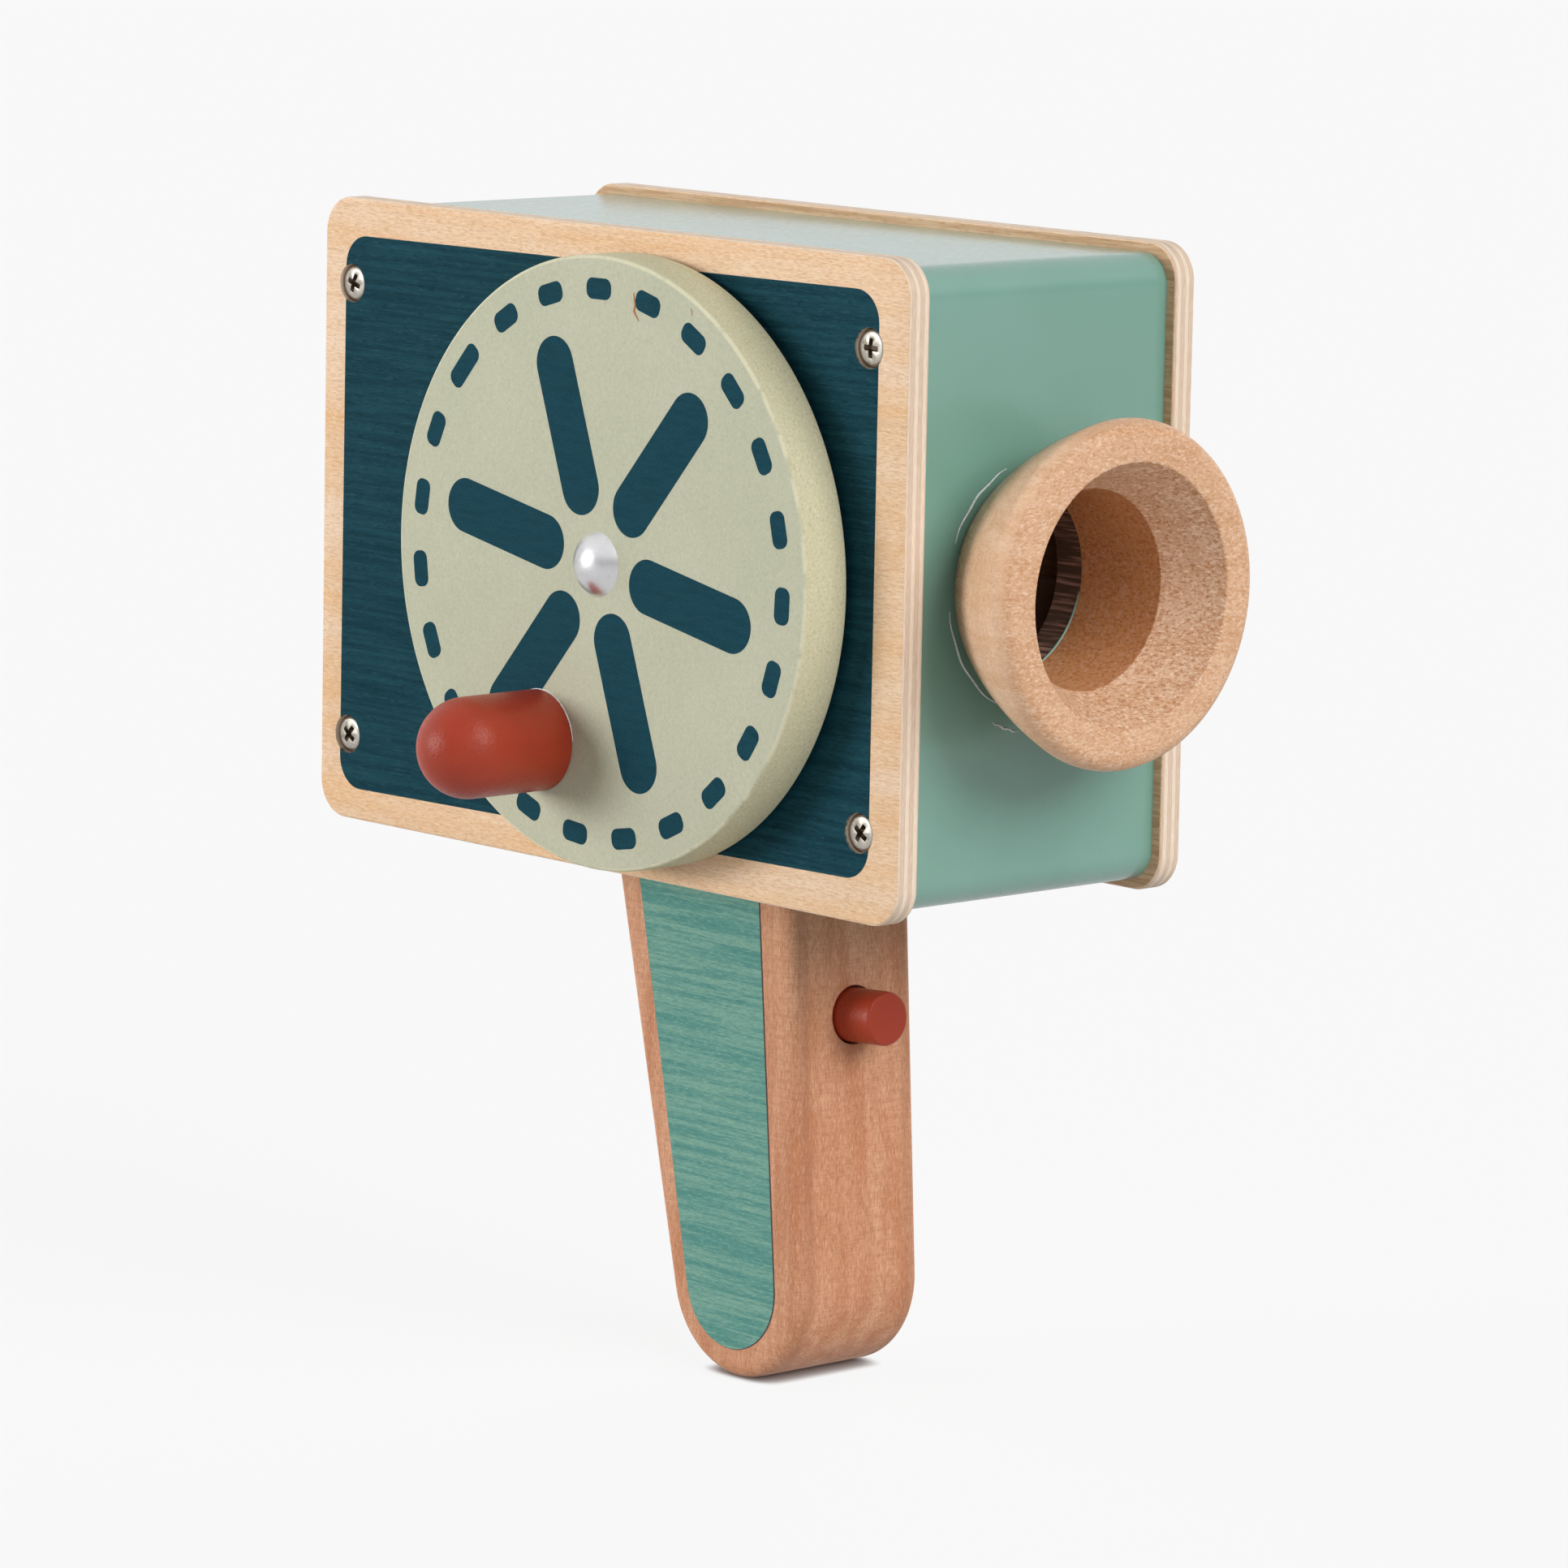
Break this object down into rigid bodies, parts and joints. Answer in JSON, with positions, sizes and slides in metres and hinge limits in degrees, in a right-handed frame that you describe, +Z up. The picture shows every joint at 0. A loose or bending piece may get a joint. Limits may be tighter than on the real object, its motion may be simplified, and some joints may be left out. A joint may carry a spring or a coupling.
{
  "type": "toy film camera",
  "caption": "Wooden toy film camera: a box between plywood sides with a crank wheel, a flared turned lens, a tapered grip and a sprung trigger button.",
  "frame": {"origin": "centre of the left side plate's outer face", "axes": "+X forward along the lens, +Y to the left out of the rest face, +Z up"},
  "size_m": [0.1852, 0.1097, 0.2165],
  "materials": {
    "birch_ply": "clear satin, with a stained field on the crank side",
    "green_paint": "painted, satin",
    "sage_paint": "painted, matte",
    "red_paint": "painted, satin",
    "maple": "turned, clear satin",
    "beech": "clear satin",
    "steel": "plain",
    "bright_metal": "polished"
  },
  "bodies": {
    "body": {"right_side_plate": "birch_ply", "left_side_plate": "birch_ply", "top_board": "green_paint", "bottom_board": "green_paint", "front_board": "green_paint", "rear_board": "green_paint", "axle_block": "beech", "lens_barrel": "maple", "grip": "beech", "trigger_spring": "steel", "trigger_pin": "steel", "plate_screws": "steel", "grip_screws": "steel"},
    "crank": {"crank_wheel": "sage_paint", "crank_peg": "red_paint", "crank_axle": "steel", "axle_cap": "bright_metal", "wheel_washer": "steel", "inner_washer": "steel", "axle_retainer": "steel"},
    "trigger": {"trigger_button": "red_paint"}
  },
  "joints": [
    {"name": "crank_turn", "type": "hinge", "parent": "body", "child": "crank", "pos_m": [0.0119, -0.0714, -0.0006], "axis": [0, 1, 0], "continuous": true},
    {"name": "trigger_press", "type": "slide", "parent": "body", "child": "trigger", "axis": [-0.998, 0, -0.0627], "range_m": [0, 0.005], "stiffness_N_per_m": 400, "deforming": ["trigger_spring"]}
  ]
}
